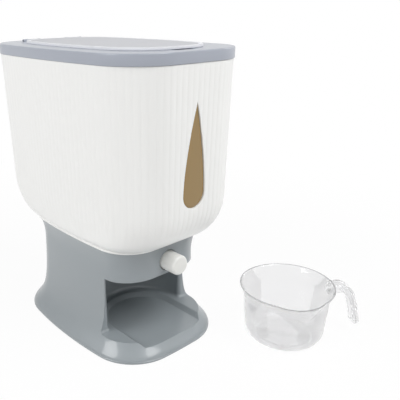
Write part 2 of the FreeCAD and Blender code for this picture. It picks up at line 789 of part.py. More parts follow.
pieces = {
    "base_shell": base_shell,
    "base_cover": base_cover,
    "foot_pads": foot_pads,
    "cover_screws": cover_screws,
    "bin_screws": bin_screws,
    "bin_shell": bin_shell,
    "window_lens": window_lens,
    "hopper": hopper,
    "top_rim": top_rim,
    "lid": lid,
    "lid_seal": lid_seal,
    "hinge_pins": hinge_pins,
    "button_cap": button_cap,
    "button_guide": button_guide,
    "push_rod": push_rod,
    "rod_clip": rod_clip,
    "return_spring": return_spring,
    "gate_plate": gate_plate,
    "gate_housing": gate_housing,
    "housing_screws": housing_screws,
    "outlet_chute": outlet_chute,
    "measuring_cup": measuring_cup,
}

os.makedirs("parts", exist_ok=True)
for name, make in pieces.items():
    shape = make()
    shape.exportStep("parts/" + name + ".step")
    print(name, len(shape.Solids), round(shape.Volume / 1000, 1))
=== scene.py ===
import bpy
import json
import math
import numpy as np
from mathutils import Matrix


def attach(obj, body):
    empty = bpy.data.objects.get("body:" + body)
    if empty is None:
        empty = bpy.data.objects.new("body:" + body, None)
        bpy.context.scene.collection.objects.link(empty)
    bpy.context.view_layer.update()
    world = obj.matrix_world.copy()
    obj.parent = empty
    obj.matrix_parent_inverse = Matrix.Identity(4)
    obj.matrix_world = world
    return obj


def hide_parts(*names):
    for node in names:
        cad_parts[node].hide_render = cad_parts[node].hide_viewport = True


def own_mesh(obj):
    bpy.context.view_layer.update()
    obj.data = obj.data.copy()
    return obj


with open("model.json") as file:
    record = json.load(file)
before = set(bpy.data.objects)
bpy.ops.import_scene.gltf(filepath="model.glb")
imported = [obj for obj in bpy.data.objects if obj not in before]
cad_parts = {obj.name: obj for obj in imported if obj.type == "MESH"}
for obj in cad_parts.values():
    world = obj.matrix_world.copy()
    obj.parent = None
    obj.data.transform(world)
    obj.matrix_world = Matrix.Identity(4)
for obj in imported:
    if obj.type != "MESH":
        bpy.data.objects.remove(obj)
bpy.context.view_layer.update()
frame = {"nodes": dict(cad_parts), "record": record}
print("frame loaded:", len(frame["nodes"]), "nodes")

mm = 0.001  # lengths are written in mm, and Blender counts in metres


def addMesh(name, points, faces, sharpAngle=40.0):
    # faces is a list of index arrays, each of one width: quads, triangles or one many-sided cap
    mesh = bpy.data.meshes.new(name)
    points = np.asarray(points, float).reshape(-1, 3) * mm
    mesh.vertices.add(len(points))
    mesh.vertices.foreach_set("co", points.ravel())
    counts = np.concatenate([np.full(len(part), part.shape[1]) for part in faces])
    loops = np.concatenate([part.ravel() for part in faces])
    mesh.loops.add(len(loops))
    mesh.loops.foreach_set("vertex_index", loops.astype(np.int32))
    mesh.polygons.add(len(counts))
    starts = np.concatenate([[0], np.cumsum(counts)[:-1]])
    mesh.polygons.foreach_set("loop_start", starts.astype(np.int32))
    mesh.update(calc_edges=True)
    mesh.validate()
    piece = bpy.data.objects.new(name, mesh)
    bpy.context.scene.collection.objects.link(piece)
    smooth(mesh, sharpAngle)
    return piece


def smooth(mesh, sharpAngle):
    # soft shading, but edges sharper than the angle stay crisp
    mesh.polygons.foreach_set("use_smooth", np.ones(len(mesh.polygons), bool))
    mesh.set_sharp_from_angle(angle=math.radians(sharpAngle))


def gridFaces(rows, cols, flip):
    # quads between neighbouring rows, the last column joined to the first
    i = np.arange(rows - 1)[:, None]
    j = np.arange(cols)[None, :]
    k = (j + 1) % cols
    corners = [i * cols + j, i * cols + k, (i + 1) * cols + k, (i + 1) * cols + j]
    if flip:
        corners = corners[::-1]
    return np.stack([c + 0 * (i + j) for c in corners], axis=-1).reshape(-1, 4)


def gridPiece(name, grid, caps="", flip=False, loop=False, sharpAngle=40.0):
    # a stack of rings becomes a surface; its caps are "fan", round a middle point, or "flat", one face
    rows, cols = grid.shape[:2]
    points = grid.reshape(-1, 3)
    faces = [gridFaces(rows + loop, cols, flip) % (rows * cols)]  # a loop's last ring joins its first
    for row, turn in ((0, not flip), (rows - 1, flip)):
        rim = row * cols + np.arange(cols)
        if turn:
            rim = rim[::-1]
        if caps == "flat":
            faces.append(rim[None, :])
        elif caps == "fan":
            points = np.concatenate([points, points[rim].mean(0)[None, :]])
            middle = np.full(cols, len(points) - 1)
            faces.append(np.stack([rim, np.roll(rim, -1), middle], axis=-1))
    return addMesh(name, points, faces, sharpAngle)


def settle(piece, sharpAngle=40.0):
    # modifiers are made real
    graph = bpy.context.evaluated_depsgraph_get()
    mesh = bpy.data.meshes.new_from_object(piece.evaluated_get(graph))
    old = piece.data
    piece.modifiers.clear()
    piece.data = mesh
    bpy.data.meshes.remove(old)
    smooth(mesh, sharpAngle)


def combine(piece, tool, operation="DIFFERENCE", sharpAngle=40.0):
    # one solid is taken from, or added to, another
    change = piece.modifiers.new("combine", "BOOLEAN")
    change.operation = operation
    change.solver = "EXACT"
    change.object = tool
    settle(piece, sharpAngle)
    bpy.data.objects.remove(tool)


def weld(piece, gap=0.001):
    # points that lie on each other become one
    close = piece.modifiers.new("weld", "WELD")
    close.merge_threshold = gap * mm
    settle(piece)


def soften(piece, width, angle=60.0, segments=4):
    # edges sharper than the angle are rounded over a width
    edge = piece.modifiers.new("soften", "BEVEL")
    edge.width = width * mm
    edge.segments = segments
    edge.limit_method = "ANGLE"
    edge.angle_limit = math.radians(angle)
    settle(piece)


def paint(piece, slot):
    piece.data.materials.clear()
    piece.data.materials.append(finishes[slot].material)


def place(piece, body, slot, *nodes):
    # a finished piece gets its finish and its body, and stands for the nodes
    paint(piece, slot)
    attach(piece, body)
    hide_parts(*nodes)
    print("made", piece.name + ":", len(piece.data.polygons), "faces")


def ringPoints(halfW, halfD, form, share, centreY=0.0):
    # eight tangent arcs: long shallow arcs at front, back and sides, joined by round corners.
    # share runs 0 to 1 once round by arc length, from the middle of the back by the right side.
    halfW, halfD, centreY = (np.asarray(v, float)[..., None] for v in (halfW, halfD, centreY))
    cornerR, frontR, sideR = (np.asarray(v, float)[..., None] for v in form)
    cornerR, frontR, sideR = cornerR * halfW, frontR * halfW, sideR * halfD
    frontY, sideX = halfD - frontR, halfW - sideR
    span = np.hypot(sideX, frontY)
    along = ((frontR - cornerR) ** 2 - (sideR - cornerR) ** 2 + span ** 2) / (2 * span)
    across = np.sqrt((frontR - cornerR) ** 2 - along ** 2)
    ux, uy = sideX / span, -frontY / span
    cornerX = ux * along + uy * across
    cornerY = frontY + uy * along - ux * across
    turnF = np.arctan2(cornerY - frontY, cornerX)
    turnS = np.arctan2(cornerY, cornerX - sideX)
    runF = frontR * (math.pi / 2 - turnF)
    runC = cornerR * (turnF - turnS)
    runS = sideR * turnS
    quarter = share * 4 % 4
    which = np.floor(quarter)
    part = quarter - which
    part = np.where(which % 2 == 1, 1 - part, part)
    run = part * (runF + runC + runS)
    onFront, onCorner = run < runF, run < runF + runC
    turn = np.where(onFront, math.pi / 2 - run / frontR,
                    np.where(onCorner, turnF - (run - runF) / cornerR, turnS - (run - runF - runC) / sideR))
    radius = np.where(onFront, frontR, np.where(onCorner, cornerR, sideR))
    midX = np.where(onFront, 0.0, np.where(onCorner, cornerX, sideX))
    midY = np.where(onFront, frontY, np.where(onCorner, cornerY, 0.0))
    mirrorX = np.where(which >= 2, -1.0, 1.0)
    mirrorY = np.where((which == 1) | (which == 2), -1.0, 1.0)
    nx, ny = np.cos(turn) * mirrorX, np.sin(turn) * mirrorY
    x = (midX + radius * np.cos(turn)) * mirrorX
    y = (midY + radius * np.sin(turn)) * mirrorY + centreY
    return x, y, nx, ny


def ringGrid(halfW, halfD, form, share, inset, z, centreY=0.0):
    # rows of the outline, each drawn in by its inset along the normal and set at its height
    inset, z = np.asarray(inset, float), np.asarray(z, float)
    halfW, halfD, centreY = (v + np.zeros(len(z)) for v in (halfW, halfD, centreY))
    x, y, nx, ny = ringPoints(halfW, halfD, form, share, centreY)
    inset = inset[..., None] if inset.ndim == 1 else inset
    return np.stack([x - nx * inset, y - ny * inset, z[:, None] + 0 * x], axis=-1)


def evenShares(count):
    # even steps once round an outline, from 0 to just short of 1
    return np.arange(count) / count


def edgeRound(radius, fromTurn, toTurn, steps=4):
    # a rounded edge as pairs of inset and height, radius times cosine and sine of the turn
    turn = np.radians(np.linspace(fromTurn, toTurn, steps))
    return np.stack([-radius * np.cos(turn), radius * np.sin(turn)], -1)


def onceRound(count):
    return np.linspace(0, 2 * math.pi, count, endpoint=False)


def turned(name, profile, centre, steps=72):
    # a profile of (radius, way along) is carried once round a line along Y; both ends close in a pole
    turn = onceRound(steps)
    radius, along = np.asarray(profile, float).T[..., None]
    grid = np.stack([radius * np.cos(turn), along + 0 * turn, -radius * np.sin(turn)], -1)
    return gridPiece(name, grid + np.array(centre), caps="fan")


def unit(way):
    return way / np.linalg.norm(way)


def bar(name, radius, start, end, steps=48):
    # a round bar between two points: radius times cosine and sine on two directions square to it
    start, end = np.array(start, float), np.array(end, float)
    way = unit(end - start)
    side = unit(np.cross(way, (1, 0, 0) if abs(way[0]) < 0.9 else (0, 1, 0)))
    other = np.cross(way, side)
    turn = onceRound(steps)[:, None]
    ring = radius * (side * np.cos(turn) + other * np.sin(turn))
    return gridPiece(name, np.stack([start + ring, end + ring]), caps="flat")


def block(name, low, high):
    # a box between two corners, as a stack of two rings
    plan = np.array([(low[0], low[1]), (high[0], low[1]), (high[0], high[1]), (low[0], high[1])], float)
    return planStack(name, [plan, plan], [low[2], high[2]])


def planStack(name, plans, heights):
    # closed outlines seen from above, stacked at their heights
    grid = np.stack([np.column_stack([plan, np.full(len(plan), z)]) for plan, z in zip(plans, heights)])
    return gridPiece(name, grid, caps="flat")


def arc(centreX, centreY, radius, fromTurn, toTurn, steps):
    # centre plus radius times cosine and sine, for turns in degrees
    turn = np.radians(np.linspace(fromTurn, toTurn, steps))
    return np.stack([centreX + radius * np.cos(turn), centreY + radius * np.sin(turn)], -1)


class Flow:
    # a node's output, so that shader sums read as plain expressions
    def __init__(self, nodes, socket):
        self.nodes, self.socket = nodes, socket

    def math(self, operation, other):
        return self.nodes.node("Math", {"operation": operation}, {0: self, 1: other})

    def __add__(self, other):
        return self.math("ADD", other)

    def __mul__(self, other):
        return self.math("MULTIPLY", other)

    __radd__, __rmul__ = __add__, __mul__  # for both of them the order makes no difference


class Nodes:
    # a node tree: every new node comes from the method node
    def __init__(self, tree):
        self.tree = tree

    def feed(self, name, value, shader):
        # a socket gets a value or a link
        socket = shader.inputs[name]
        if isinstance(value, Flow):
            self.tree.links.new(value.socket, socket)
        else:
            socket.default_value = value

    def node(self, kind, settings=None, values=None, out=0):
        made = self.tree.nodes.new("ShaderNode" + kind)
        for key, value in (settings or {}).items():
            setattr(made, key, value)
        for key, value in (values or {}).items():
            self.feed(key, value, made)
        return Flow(self, made.outputs[out]) if len(made.outputs) else None


class Finish(Nodes):
    # a material with one Principled shader
    def __init__(self, name, colour, sockets):
        self.material = bpy.data.materials.new(name)
        self.material.use_nodes = True
        super().__init__(self.material.node_tree)
        self.colour = linear(colour)
        self.give("Base Color", self.colour)
        for socket, value in sockets.items():
            self.give(socket, value)

    def give(self, name, value):
        self.feed(name, value, self.tree.nodes["Principled BSDF"])

    def noise(self, scale, detail=2.0, stretch=(1, 1, 1)):
        spot = self.node("TexCoord", out="Object")
        spot = self.node("Mapping", values={"Vector": spot, "Scale": stretch})
        return self.node("TexNoise", values={"Vector": spot, "Scale": scale, "Detail": detail})

    def between(self, factor, dark, pale):
        # sockets 6 and 7 and output 2 of a Mix node are the ones for colours
        return self.node("Mix", {"data_type": "RGBA"}, {"Factor": factor, 6: dark, 7: pale}, 2)

    def bump(self, height, strength, distance):
        return self.node("Bump", values={"Height": height, "Strength": strength, "Distance": distance * mm})

    def shade(self, share):
        # the finish's colour, darker or paler by a share
        return (*np.clip(np.array(self.colour[:3]) * (1 + share), 0, 1).tolist(), 1.0)


def linear(colour):
    # 0 to 255 as written on a screen, to the light values that shaders use, by the sRGB curve
    c = np.array(colour[:3]) / 255
    c = np.where(c <= 0.04045, c / 12.92, ((c + 0.055) / 1.055) ** 2.4)
    return (*c.tolist(), 1.0)


skin = {
    # clouds about 9 cm wide, a grain under 1 mm, and what each adds to the roughness
    "cloudScale": 11.0, "cloudDetail": 3.0, "grainScale": 1400.0, "grainStrength": 0.3, "coatRoughness": 0.12,
    "smoother": 0.03, "cloudRough": 0.04, "grainRough": 0.03,
}


def moulded(name, colour, gloss, shine=0.5):
    # gloss: roughness, coat, depth of the skin's grain in mm, cloudiness of the colour.
    # slow clouds in the colour and the gloss, and a fine even grain
    k = skin
    roughness, coat, grain, cloud = gloss
    finish = Finish(name, colour, {"Coat Weight": coat, "Coat Roughness": k["coatRoughness"],
                                   "Specular IOR Level": shine})
    slow = finish.noise(k["cloudScale"], k["cloudDetail"])
    fine = finish.noise(k["grainScale"])
    finish.give("Base Color", finish.between(slow, finish.shade(-cloud), finish.shade(cloud)))
    finish.give("Roughness", roughness - k["smoother"] + slow * k["cloudRough"] + fine * k["grainRough"])
    finish.give("Normal", finish.bump(fine, k["grainStrength"], grain))
    return finish


def paintedShadeBand(finish, colour, height, reach):
    # painted shade: a darker colour on the faces that lie within reach of a height, both in mm
    spot = finish.node("SeparateXYZ", values={"Vector": finish.node("TexCoord", out="Object")}, out=2)
    shadeMask = finish.node("Math", {"operation": "COMPARE"}, {0: spot, 1: height * mm, 2: reach * mm})
    finish.give("Base Color", finish.between(shadeMask, finish.colour, linear(colour)))
    return finish


drawn = {"scale": 260.0, "stretch": (1, 1, 6), "dark": -0.15, "pale": 0.05, "rough": 0.12, "strength": 0.2,
         "depth": 0.01}


def steel(name, colour, roughness):
    # drawn or turned metal: fine streaks in the colour and the gloss
    k = drawn
    finish = Finish(name, colour, {"Metallic": 1.0})
    streak = finish.noise(k["scale"], stretch=k["stretch"])
    finish.give("Base Color", finish.between(streak, finish.shade(k["dark"]), finish.shade(k["pale"])))
    finish.give("Roughness", roughness + streak * k["rough"])
    finish.give("Normal", finish.bump(streak, k["strength"], k["depth"]))
    return finish


clear = {"through": 0.96, "bend": 1.45, "solid": 0.68, "flowScale": 30.0, "flowStretch": (1, 1, 0.35),
         "flowRough": 0.03, "flowStrength": 0.06, "flowDepth": 0.3}


def clearPlastic(name, colour, roughness):
    # clear moulding with faint flow marks; where it is less than solid, light goes straight through
    k = clear
    finish = Finish(name, colour, {"Transmission Weight": k["through"], "IOR": k["bend"],
                                   "Alpha": k["solid"]})
    flow = finish.noise(k["flowScale"], stretch=k["flowStretch"])
    finish.give("Roughness", roughness + flow * k["flowRough"])
    finish.give("Normal", finish.bump(flow, k["flowStrength"], k["flowDepth"]))
    return finish


finishes = {
    # colour as on a screen, then roughness, coat, grain and cloud; steel and clear plastic: roughness
    "bin_white": moulded("binWhite", (243, 243, 241), (0.3, 0.3, 0.006, 0.006)),
    "rim_grey": moulded("rimGrey", (164, 169, 180), (0.34, 0.35, 0.01, 0.012)),
    "lid_grey": paintedShadeBand(moulded("lidPaintedShade", (236, 237, 241), (0.55, 0.0, 0.01, 0.01), 0.2),
                         (204, 205, 209), height=381.65, reach=0.15),  # painted shade on the sunk top, darker than the lid's pale edge
    "base_grey": moulded("baseGrey", (146, 153, 157), (0.4, 0.6, 0.012, 0.014)),
    "button_white": moulded("buttonWhite", (234, 234, 230), (0.3, 0.2, 0.008, 0.008)),
    "guide_white": moulded("guideWhite", (214, 214, 211), (0.5, 0.0, 0.02, 0.02)),
    "funnel_white": moulded("funnelWhite", (226, 226, 223), (0.35, 0.1, 0.01, 0.02)),
    "gate_white": moulded("gateWhite", (220, 220, 216), (0.45, 0.0, 0.02, 0.02)),
    "window_amber": moulded("windowAmber", (148, 121, 72), (0.2, 0.3, 0.004, 0.03)),
    "seal_silicone": moulded("sealSilicone", (214, 216, 218), (0.6, 0.0, 0.02, 0.02)),
    "pad_rubber": moulded("padRubber", (58, 58, 60), (0.8, 0.0, 0.06, 0.08)),
    "screw_steel": steel("screwSteel", (188, 188, 190), 0.3),
    "pin_steel": steel("pinSteel", (196, 196, 198), 0.22),
    "spring_steel": steel("springSteel", (190, 190, 192), 0.25),
    "cup_clear": paintedShadeBand(clearPlastic("cupClear", (238, 238, 239), 0.02),
                          (96, 98, 102), height=75.0, reach=0.4),  # painted shade: a dark line along the clear cup's rim
}
for part in frame["record"]["subparts"]:
    paint(frame["nodes"][part["node"]], part["material_slot"])
print("finishes:", len(finishes))


cameraFit = {
    # mm, degrees and pixels of a square picture; yaw turns it away from the dispenser's middle
    "distance": 696.44, "azimuth": -37.035, "height": 421.02, "yaw": -3.571, "pitch": 19.975,
    "roll": -0.59, "focal": 535.23, "centreX": 145.67, "centreY": 202.18, "frame": 400.0,
    "sensor": 36.0, "nearest": 0.01, "farthest": 100.0,
}


def addCamera(c):
    # stands at an azimuth and looks ahead along yaw and pitch; right is ahead crossed with upright,
    # and roll turns right and up about ahead
    azimuth, yaw = math.radians(c["azimuth"]), math.radians(c["azimuth"] + 180 + c["yaw"])
    pitch, roll = math.radians(c["pitch"]), math.radians(c["roll"])
    spot = np.array([c["distance"] * math.sin(azimuth), -c["distance"] * math.cos(azimuth), c["height"]])
    ahead = np.array([math.sin(yaw) * math.cos(pitch), -math.cos(yaw) * math.cos(pitch), -math.sin(pitch)])
    right = unit(np.cross(ahead, (0, 0, 1)))
    up = np.cross(right, ahead)
    right, up = right * math.cos(roll) + up * math.sin(roll), up * math.cos(roll) - right * math.sin(roll)
    data = bpy.data.cameras.new("camera")
    data.sensor_width = c["sensor"]
    data.lens = c["focal"] / c["frame"] * c["sensor"]
    data.shift_x = (c["frame"] / 2 - c["centreX"]) / c["frame"]
    data.shift_y = (c["centreY"] - c["frame"] / 2) / c["frame"]
    data.clip_start, data.clip_end = c["nearest"], c["farthest"]
    camera = bpy.data.objects.new("camera", data)
    stand(camera, right, up, -ahead, spot)
    bpy.context.scene.camera = camera


def stand(thing, right, up, back, spot):
    # a camera or a lamp looks away from its back
    matrix = np.eye(4)
    matrix[:3] = np.stack([right, up, back, spot * mm], -1)
    thing.matrix_world = Matrix(matrix.tolist())
    bpy.context.scene.collection.objects.link(thing)


addCamera(cameraFit)

lamps = {
    # name: place in mm, aimed at, size in mm, watts
    "front": ((350, -1500, 2000), (0, 0, 180), 1300, 34.0),
    "left": ((-1900, 350, 1300), (0, 0, 180), 1200, 25.0),
    "right": ((1700, -700, 900), (60, -80, 150), 800, 5.0),
    "top": ((0, 200, 2100), (0, 0, 0), 1200, 0.5),
}


def addLamp(name, spot, target, size, watts):
    # a square lamp whose back points away from its target
    data = bpy.data.lights.new(name, "AREA")
    data.shape = "SQUARE"
    data.size = size * mm
    data.energy = watts
    spot = np.array(spot, float)
    back = unit(spot - target)
    side = unit(np.cross((0, 1, 0) if abs(back[2]) > 0.99 else (0, 0, 1), back))  # 0.99: straight above
    stand(bpy.data.objects.new(name, data), side, np.cross(back, side), back, spot)


for name, facts in lamps.items():
    addLamp(name, *facts)

studio = {
    "ambient": 0.21, "backdrop": 1.0, "mirrored": 0.9,  # light on things, behind them, its share in mirrors
    "floor": 0.9, "glowNear": 0.95,  # the floor's grey, and how much of it glows near the foot
    "floorHalf": 40.0, "glowFrom": 0.25, "glowTo": 0.9,  # metres
}


def shownDirectly(nodes):
    # 1 for rays from the camera, straight or through glass, a share for mirrors,
    # and 0 for the light that falls on things
    camera, mirror, glass = (nodes.node("LightPath", out=ray)
                             for ray in ("Is Camera Ray", "Is Glossy Ray", "Is Transmission Ray"))
    return (mirror * studio["mirrored"]).math("MAXIMUM", camera).math("MAXIMUM", glass)


def paleWorld():
    world = bpy.data.worlds.new("studio")
    bpy.context.scene.world = world
    world.use_nodes = True
    nodes = Nodes(world.node_tree)
    level = nodes.node("MapRange", values={"Value": shownDirectly(nodes), "To Min": studio["ambient"],
                                           "To Max": studio["backdrop"]})
    background = world.node_tree.nodes["Background"]
    nodes.feed("Color", (1, 1, 1, 1), background)
    nodes.feed("Strength", level, background)


def paleFloor():
    # matte under things, with a glow that grows to plain white with the distance from the foot
    material = bpy.data.materials.new("paleFloor")
    material.use_nodes = True
    material.node_tree.nodes.clear()
    nodes = Nodes(material.node_tree)
    spot = nodes.node("TexCoord", out="Object")
    away = nodes.node("VectorMath", {"operation": "LENGTH"}, {0: spot}, out="Value")
    far = nodes.node("MapRange", {"interpolation_type": "SMOOTHSTEP"},
                     {"Value": away, "From Min": studio["glowFrom"], "From Max": studio["glowTo"],
                      "To Min": studio["glowNear"]})
    matte = nodes.node("BsdfDiffuse", values={"Color": (studio["floor"],) * 3 + (1,)})
    glow = nodes.node("Emission")
    mixed = nodes.node("MixShader", values={"Fac": shownDirectly(nodes) * far, 1: matte, 2: glow})
    nodes.node("OutputMaterial", values={"Surface": mixed})
    half = studio["floorHalf"] / mm
    floor = addMesh("floor", [(-half, -half, 0), (half, -half, 0), (half, half, 0), (-half, half, 0)],
                    [np.array([[0, 1, 2, 3]])], 0)
    floor.data.materials.append(material)
    return floor


paleWorld()
paleFloor()
bpy.context.scene.view_settings.view_transform = "Standard"
print("studio ready")


riceBin = {
    "collarHalfW": 98.5, "collarHalfD": 157.0, "step": 1.1, "leanW": 0.020, "leanD": 0.025,
    "form": (0.62, 12.0, 7.5), "collarZ": 366.4, "top": 376.6, "skirt": 1.8, "gap": 0.3,
    "roundZ": 200.0, "lowZ": 146.4, "floorZ": 143.0, "floorHalfW": 77.0, "floorHalfD": 112.3,
    "lipOut": 2.0, "lipRound": 1.6, "wall": 2.6, "rows": 22,
    "flutes": 110, "fluteDepth": 0.5, "fluteCols": 8, "fluteHigh": 364.0, "fluteLow": 152.0,
    "fluteFadeHigh": 3.0, "fluteFadeLow": 34.0,
    "roundShare": 0.995, "wallTop": 0.4, "wallRows": 14, "floorIn": 8.0, "rimEdge": 0.5, "sharp": 50,
    "neckR": 22.3, "neckY": -39.0, "cutLow": 140.0, "cutHigh": 150.0,
    "screws": ((-42, -84), (42, -84), (-50, 48), (50, 48)), "screwR": 1.75, "screwSides": 12,
}


def binSize(z):
    # straight sides that lean in with depth, then a quarter ellipse in to the lip
    b = riceBin
    depth = (b["roundZ"] - b["lowZ"]) / b["roundShare"]
    full = 1 - math.sqrt(1 - b["roundShare"] ** 2)
    drop = np.clip((b["roundZ"] - z) / depth, 0, b["roundShare"])
    share = (1 - np.sqrt(1 - drop ** 2)) / full
    leanW = b["collarHalfW"] - b["step"] - b["leanW"] * (b["collarZ"] - z)
    leanD = b["collarHalfD"] - b["step"] - b["leanD"] * (b["collarZ"] - z)
    return leanW - share * (leanW - b["floorHalfW"]), leanD - share * (leanD - b["floorHalfD"])


def binSteps(count):
    # heights from the lip to the collar: close together where the bottom is round
    b = riceBin
    turn = np.linspace(0, math.pi / 2, count)
    low = b["roundZ"] - (b["roundZ"] - b["lowZ"]) * np.cos(turn)
    return np.concatenate([low, np.linspace(b["roundZ"], b["collarZ"] - b["wallTop"], b["wallRows"])[1:]])


def fluteDepth(share, z):
    # convex reeds side by side: depth grows with the cube of the way from a reed's middle
    b = riceBin
    way = np.abs((share * b["flutes"]) % 1 * 2 - 1) ** 3
    fade = np.clip((b["fluteHigh"] - z) / b["fluteFadeHigh"], 0, 1)
    fade = fade * np.clip((z - b["fluteLow"]) / b["fluteFadeLow"], 0, 1)
    return b["fluteDepth"] * way * fade[:, None]


def makeBin():
    # one skin: lip, round bottom, fluted wall, up behind the collar, over and down the inside
    b = riceBin
    share = evenShares(b["flutes"] * b["fluteCols"])
    z = binSteps(b["rows"])
    halfW, halfD = binSize(z)
    wall = ringGrid(halfW, halfD, b["form"], share, fluteDepth(share, z), z)
    r = b["lipRound"]
    low, high = edgeRound(r, -90, 0) + (r, b["floorZ"] + r), edgeRound(r, 0, 90) + (r, b["lowZ"] - r)
    inset, z = np.concatenate([[(b["floorIn"], b["floorZ"])], low, high]).T
    lip = ringGrid(b["floorHalfW"] + b["lipOut"], b["floorHalfD"] + b["lipOut"], b["form"], share, inset, z)
    back = b["skirt"] + b["gap"]
    inset = [0.0, 0.0, b["rimEdge"], b["wall"] - back]
    z = [b["collarZ"], b["top"] - b["rimEdge"], b["top"], b["top"]]
    over = ringGrid(b["collarHalfW"] - back, b["collarHalfD"] - back, b["form"], share, inset, z)
    z = binSteps(b["rows"])[::-2]
    halfW, halfD = binSize(z)
    inside = ringGrid(halfW, halfD, b["form"], share, np.full(len(z), b["wall"]), z)
    grid = np.concatenate([lip, wall, over, inside])
    piece = gridPiece("bin", grid, caps="flat", flip=True, sharpAngle=b["sharp"])
    drill(piece, b["cutLow"], b["cutLow"], b["cutHigh"], b["sharp"])
    return piece


def drill(piece, neckLow, screwLow, high, sharpAngle=40.0):
    # upright holes for the neck and the screws, at the same places in the bin and the base
    b = riceBin
    holes = [bar("hole", b["neckR"], (0, b["neckY"], neckLow), (0, b["neckY"], high))]
    for x, y in b["screws"]:
        holes.append(bar("hole", b["screwR"], (x, y, screwLow), (x, y, high), b["screwSides"]))
    for hole in holes:
        combine(piece, hole, sharpAngle=sharpAngle)


window = {
    "tipZ": 325.7, "lowZ": 202.3, "halfW": 17.2, "sidePower": 1.65, "steps": 40, "stepPower": 1.3,
    "sink": 1.5, "edge": 0.9, "edgeDrop": 0.5, "gap": 0.15, "middleBelow": 14.0,
    "flangeFrom": 2.65, "flangeTo": 3.8, "lap": 4.0,
    "holeRound": 0.7, "holeSteps": 5, "holeAhead": 1.0, "holePast": 1.5,
}


def dropOutline(grow):
    # teardrop: from the tip each side widens as 1 - (1 - share of the way) ^ sidePower,
    # then runs into a half circle
    w = window
    halfW, wideZ = w["halfW"] + grow, w["lowZ"] + w["halfW"]
    way = np.linspace(0, 1, w["steps"]) ** w["stepPower"]
    x = halfW * (1 - (1 - way) ** w["sidePower"])
    side = np.stack([x, w["tipZ"] + grow + (wideZ - w["tipZ"] - grow) * way], -1)
    bottom = arc(0, wideZ, halfW, 0, -180, w["steps"])[1:-1]
    return np.concatenate([side, bottom, (side * (-1, 1))[::-1][:-1]])


def frontWall(x, z, inset):
    # the bin's front at a place, or an inset inside it: the front arc, middle less
    # sqrt((radius - inset)^2 - x^2), with a radius that follows the lean
    halfW, halfD = binSize(z)
    radius = riceBin["form"][1] * halfW
    return radius - halfD - np.sqrt((radius - inset) ** 2 - x ** 2)


def dropRing(grow, share, inset):
    # the teardrop's edge, moved a share of the way to its middle line, on a level inside the wall
    w = window
    x, z = dropOutline(grow).T
    middle = np.clip(z, w["lowZ"] + w["halfW"], w["tipZ"] - w["middleBelow"])
    x, z = x * (1 - share), z + (middle - z) * share
    return np.stack([x, frontWall(x, z, inset), z], -1)


def windowHole():
    # the hole's edge is rounded, so the tool flares towards the front
    w = window
    grow, inset = (edgeRound(w["holeRound"], 0, 90, w["holeSteps"])[::-1] * (-1, 1)).T
    rows = [dropRing(2 * w["holeRound"], 0, -w["holeAhead"])]
    rows += [dropRing(w["holeRound"] - g, 0, w["holeRound"] - i) for g, i in zip(grow, inset)]
    rows.append(dropRing(0.0, 0, riceBin["wall"] + w["holePast"]))
    return gridPiece("hole", np.stack(rows), caps="flat")


def makeWindow():
    # front skin from the middle line to a sloped edge, back behind the wall, out to the flange and in.
    # rows: growth of the teardrop, share of the way to its middle line, depth behind the front
    w = window
    small, large, sink, near, far = -w["gap"], w["lap"], w["sink"], w["flangeFrom"], w["flangeTo"]
    rows = [(small, 1.0, sink), (small, 0.6, sink), (small, 0.25, sink), (small - w["edge"], 0.0, sink),
            (small, 0.0, sink + w["edgeDrop"]), (small, 0.0, near), (large, 0.0, near), (large, 0.0, far),
            (large, 0.3, far), (large, 0.7, far), (large, 1.0, far)]
    piece = gridPiece("window", np.stack([dropRing(*row) for row in rows]))
    weld(piece)
    return piece


collar = {
    "halfW": 98.45, "halfD": 157.0, "form": (0.62, 12.0, 7.5), "low": 366.4, "top": 379.0,
    "edge": 1.3, "lowEdge": 0.5, "skirt": 1.8, "plate": 2.4, "count": 240,
    "mouthHalfW": 71.0, "mouthHalfD": 128.5, "mouthForm": (0.74, 40.0, 4.8),
    "mouthIn": 5.3, "mouthWall": 2.0, "mouthLow": 370.0, "mouthEdge": 0.5,
    "insideUp": 0.3, "edgeSteps": 5,
    "notchHalfW": 17.0, "notchFrom": -137.5, "notchTo": -124.0, "notchLow": 377.4, "notchUp": 3.0,
    "notchRound": 1.5,
}
hinge = {
    "x": 34.0, "y": 132.1, "z": 379.5, "r": 2.5, "knuckle": 16.0, "knuckleSides": 32, "gap": 0.3,
    "ear": 5.0, "earSteps": 17, "earLow": 0.2, "bedPast": 0.5, "bedHalf": 5.0, "bedDeep": 3.0,
    "pocketBack": 0.5, "pocketLow": 0.4, "pocketUp": 5.0, "pinR": 1.25, "pinGap": 0.06, "boreSides": 24,
    "webIn": 0.01, "webReach": 2.0, "webDrop": 0.02,
}


